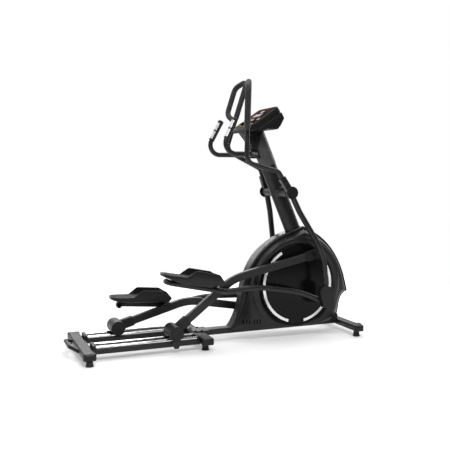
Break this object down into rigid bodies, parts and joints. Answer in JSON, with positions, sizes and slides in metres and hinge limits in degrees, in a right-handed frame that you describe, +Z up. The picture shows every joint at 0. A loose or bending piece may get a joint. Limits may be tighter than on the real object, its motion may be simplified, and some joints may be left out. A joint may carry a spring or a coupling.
{
  "type": "elliptical trainer",
  "caption": "Floor-standing elliptical trainer with a front crank drive, rear rollers on bright rails, swinging and fixed handlebars and a tilted console.",
  "frame": {"origin": "on the floor under the middle of the outer box, with the six feet on z = 0", "axes": "+X from the rear beam towards the drive housing, +Y to the left of a person facing the console, +Z up"},
  "size_m": [2.09, 0.76, 1.8517],
  "materials": {
    "frame_black": "satin black powder coat",
    "bright_rod": "polished",
    "shaft_steel": "turned",
    "shell_black": "fine-grained moulded",
    "disc_black": "gloss",
    "foam_black": "closed-cell foam",
    "rubber_black": "matt rubber",
    "wheel_polymer": "moulded",
    "console_grey": "fine-grained moulded",
    "console_fascia": "satin printed film",
    "key_green": "soft-touch",
    "key_red": "soft-touch",
    "iron": "machined",
    "pulley_alloy": "as cast",
    "sensor_plate": "bright"
  },
  "bodies": {
    "frame": {"rear_beam": "frame_black", "mid_beam": "frame_black", "front_stabiliser": "frame_black", "beam_end_caps": "shell_black", "transport_handle": "frame_black", "rail_tubes": "frame_black", "rail_rods": "bright_rod", "rail_rod_holders": "shell_black", "base_tube": "frame_black", "levelling_feet": "rubber_black", "inner_frame": "frame_black", "crank_bearings": "shaft_steel", "drive_belt": "rubber_black", "brake_motor": "shell_black", "shroud_left": "shell_black", "shroud_right": "shell_black", "power_inlet": "shell_black", "mast": "frame_black", "pivot_shaft": "shaft_steel", "pivot_cover": "shell_black", "handlebar_clamp": "frame_black", "fixed_handlebar": "frame_black", "fixed_grips": "foam_black", "pulse_plates": "sensor_plate", "console_back": "console_grey", "console_front": "console_fascia", "frame_bolts": "shaft_steel"},
    "crankset": {"crankshaft": "shaft_steel", "crank_discs": "disc_black", "drive_pulley": "pulley_alloy"},
    "flywheel_body": {"flywheel": "iron"},
    "brake_arm": {"brake_magnet_arm": "frame_black"},
    "start_key": {"console_key_start": "key_green"},
    "stop_key": {"console_key_stop": "key_red"},
    "roller_carriage_left": {"roller_carriage_left": "shaft_steel"},
    "roller_wheels_left": {"roller_wheels_left": "wheel_polymer"},
    "roller_arm_left": {"roller_arm_left": "frame_black", "roller_cover_left": "shell_black", "crank_joint_left": "shell_black"},
    "pedal_link_left": {"pedal_link_left": "frame_black", "pedal_left": "shell_black", "pedal_pad_left": "rubber_black"},
    "swing_arm_left": {"swing_arm_left": "frame_black", "swing_covers_left": "shell_black", "handlebar_left": "frame_black", "hand_grips_left": "foam_black"},
    "transport_wheel_left": {"transport_wheel_left": "wheel_polymer"},
    "roller_carriage_right": {"roller_carriage_right": "shaft_steel"},
    "roller_wheels_right": {"roller_wheels_right": "wheel_polymer"},
    "roller_arm_right": {"roller_arm_right": "frame_black", "roller_cover_right": "shell_black", "crank_joint_right": "shell_black"},
    "pedal_link_right": {"pedal_link_right": "frame_black", "pedal_right": "shell_black", "pedal_pad_right": "rubber_black"},
    "swing_arm_right": {"swing_arm_right": "frame_black", "swing_covers_right": "shell_black", "handlebar_right": "frame_black", "hand_grips_right": "foam_black"},
    "transport_wheel_right": {"transport_wheel_right": "wheel_polymer"}
  },
  "joints": [
    {"name": "crank_turn", "type": "hinge", "parent": "frame", "child": "crankset", "pos_m": [0.572, 0, 0.381], "axis": [0, -1, 0], "range_deg": [0, 180]},
    {"name": "flywheel_spin", "type": "hinge", "parent": "frame", "child": "flywheel_body", "pos_m": [0.815, 0, 0.335], "axis": [0, -1, 0], "range_deg": [0, 1126]},
    {"name": "brake_lift", "type": "hinge", "parent": "frame", "child": "brake_arm", "pos_m": [0.73671, 0, 0.45106], "axis": [0, -1, 0], "range_deg": [0, 6]},
    {"name": "start_press", "type": "slide", "parent": "frame", "child": "start_key", "axis": [0.5645, 0, -0.8254], "range_m": [0, 0.0012], "stiffness_N_per_m": 400},
    {"name": "stop_press", "type": "slide", "parent": "frame", "child": "stop_key", "axis": [0.5645, 0, -0.8254], "range_m": [0, 0.0012], "stiffness_N_per_m": 400},
    {"name": "roller_travel_left", "type": "slide", "parent": "frame", "child": "roller_carriage_left", "axis": [1, 0, 0], "range_m": [0, 0.31869]},
    {"name": "roller_spin_left", "type": "hinge", "parent": "roller_carriage_left", "child": "roller_wheels_left", "pos_m": [-0.68132, 0, 0.13], "axis": [0, -1, 0], "range_deg": [-521.78, 0]},
    {"name": "arm_tilt_left", "type": "hinge", "parent": "roller_carriage_left", "child": "roller_arm_left", "pos_m": [-0.68132, 0, 0.13], "axis": [0, -1, 0], "range_deg": [0, 22.31]},
    {"name": "pedal_pivot_left", "type": "hinge", "parent": "roller_arm_left", "child": "pedal_link_left", "pos_m": [-0.27703, 0, 0.24381], "axis": [0, -1, 0], "range_deg": [-29.32, 0]},
    {"name": "swing_left", "type": "hinge", "parent": "frame", "child": "swing_arm_left", "pos_m": [0.471, 0, 1.038], "axis": [0, -1, 0], "range_deg": [0, 16.64]},
    {"name": "transport_roll_left", "type": "hinge", "parent": "frame", "child": "transport_wheel_left", "pos_m": [1.018, 0, 0.062], "axis": [0, 1, 0], "continuous": true},
    {"name": "roller_travel_right", "type": "slide", "parent": "frame", "child": "roller_carriage_right", "axis": [1, 0, 0], "range_m": [-0.31869, 0]},
    {"name": "roller_spin_right", "type": "hinge", "parent": "roller_carriage_right", "child": "roller_wheels_right", "pos_m": [-0.36264, 0, 0.13], "axis": [0, -1, 0], "range_deg": [0, 521.78]},
    {"name": "arm_tilt_right", "type": "hinge", "parent": "roller_carriage_right", "child": "roller_arm_right", "pos_m": [-0.36264, 0, 0.13], "axis": [0, -1, 0], "range_deg": [-22.31, 0]},
    {"name": "pedal_pivot_right", "type": "hinge", "parent": "roller_arm_right", "child": "pedal_link_right", "pos_m": [-0.03178, 0, 0.38871], "axis": [0, -1, 0], "range_deg": [0, 29.32]},
    {"name": "swing_right", "type": "hinge", "parent": "frame", "child": "swing_arm_right", "pos_m": [0.471, 0, 1.038], "axis": [0, -1, 0], "range_deg": [-16.64, 0]},
    {"name": "transport_roll_right", "type": "hinge", "parent": "frame", "child": "transport_wheel_right", "pos_m": [1.018, 0, 0.062], "axis": [0, 1, 0], "continuous": true}
  ],
  "couplings": [
    {"joint": "flywheel_spin", "follows": "crank_turn", "ratio": 6.25},
    {"joint": "roller_travel_left", "follows": "crank_turn", "m_per_rad": 0.10144},
    {"joint": "roller_spin_left", "follows": "crank_turn", "ratio": -2.8982},
    {"joint": "arm_tilt_left", "follows": "crank_turn", "ratio": 0.12389},
    {"joint": "pedal_pivot_left", "follows": "crank_turn", "ratio": -0.16281},
    {"joint": "swing_left", "follows": "crank_turn", "ratio": 0.092361},
    {"joint": "roller_travel_right", "follows": "crank_turn", "m_per_rad": -0.10144},
    {"joint": "roller_spin_right", "follows": "crank_turn", "ratio": 2.8982},
    {"joint": "arm_tilt_right", "follows": "crank_turn", "ratio": -0.12389},
    {"joint": "pedal_pivot_right", "follows": "crank_turn", "ratio": 0.16281},
    {"joint": "swing_right", "follows": "crank_turn", "ratio": -0.092361}
  ]
}
